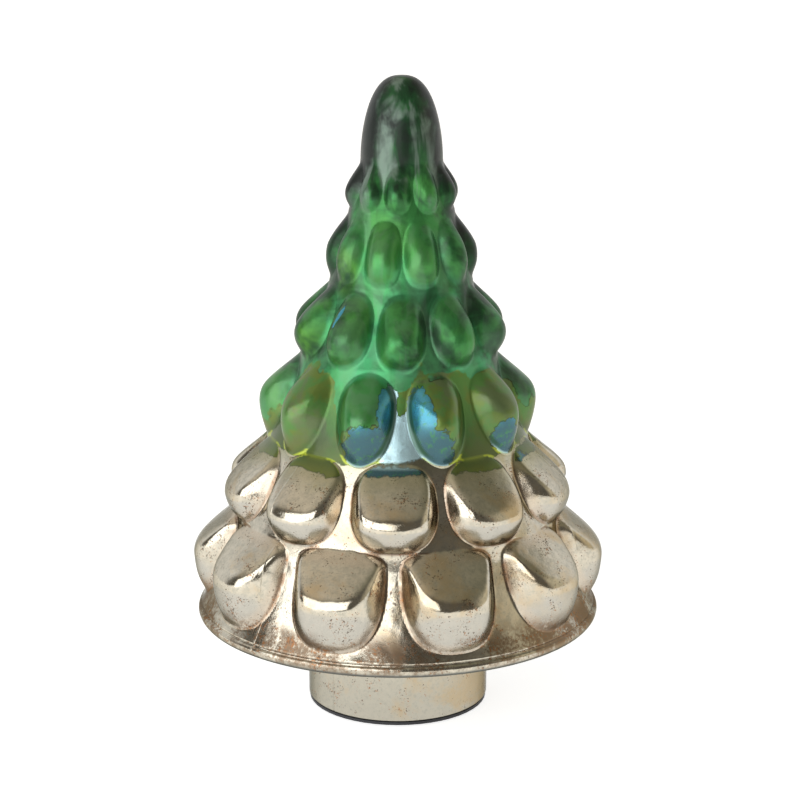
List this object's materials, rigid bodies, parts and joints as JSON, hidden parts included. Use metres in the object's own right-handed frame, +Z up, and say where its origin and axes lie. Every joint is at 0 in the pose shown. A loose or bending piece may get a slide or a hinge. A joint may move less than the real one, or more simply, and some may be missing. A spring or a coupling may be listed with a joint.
{
  "type": "glass christmas tree",
  "caption": "Hollow mould-blown glass christmas tree with staggered rounded lobes, rolled brim and round foot, on a lift-off base plug.",
  "frame": {"origin": "centre of the face that the tree stands on, the underside of its felt pad", "axes": "+Z up along the tree's axis, -Y towards the front"},
  "size_m": [0.1962, 0.1922, 0.3],
  "materials": {
    "silvered_glass": "silvered inside and aged, with a translucent satin green lacquer over the upper tiers",
    "plug_plastic": "fine moulded grain",
    "ring_rubber": "matte",
    "pad_felt": "pressed felt"
  },
  "bodies": {
    "base": {"base_plug": "plug_plastic", "seal_ring": "ring_rubber", "felt_pad": "pad_felt"},
    "tree": {"glass_body": "silvered_glass"}
  },
  "joints": [
    {"name": "tree_lift", "type": "slide", "parent": "base", "child": "tree", "axis": [0, 0, 1], "range_m": [0, 0.03]}
  ]
}
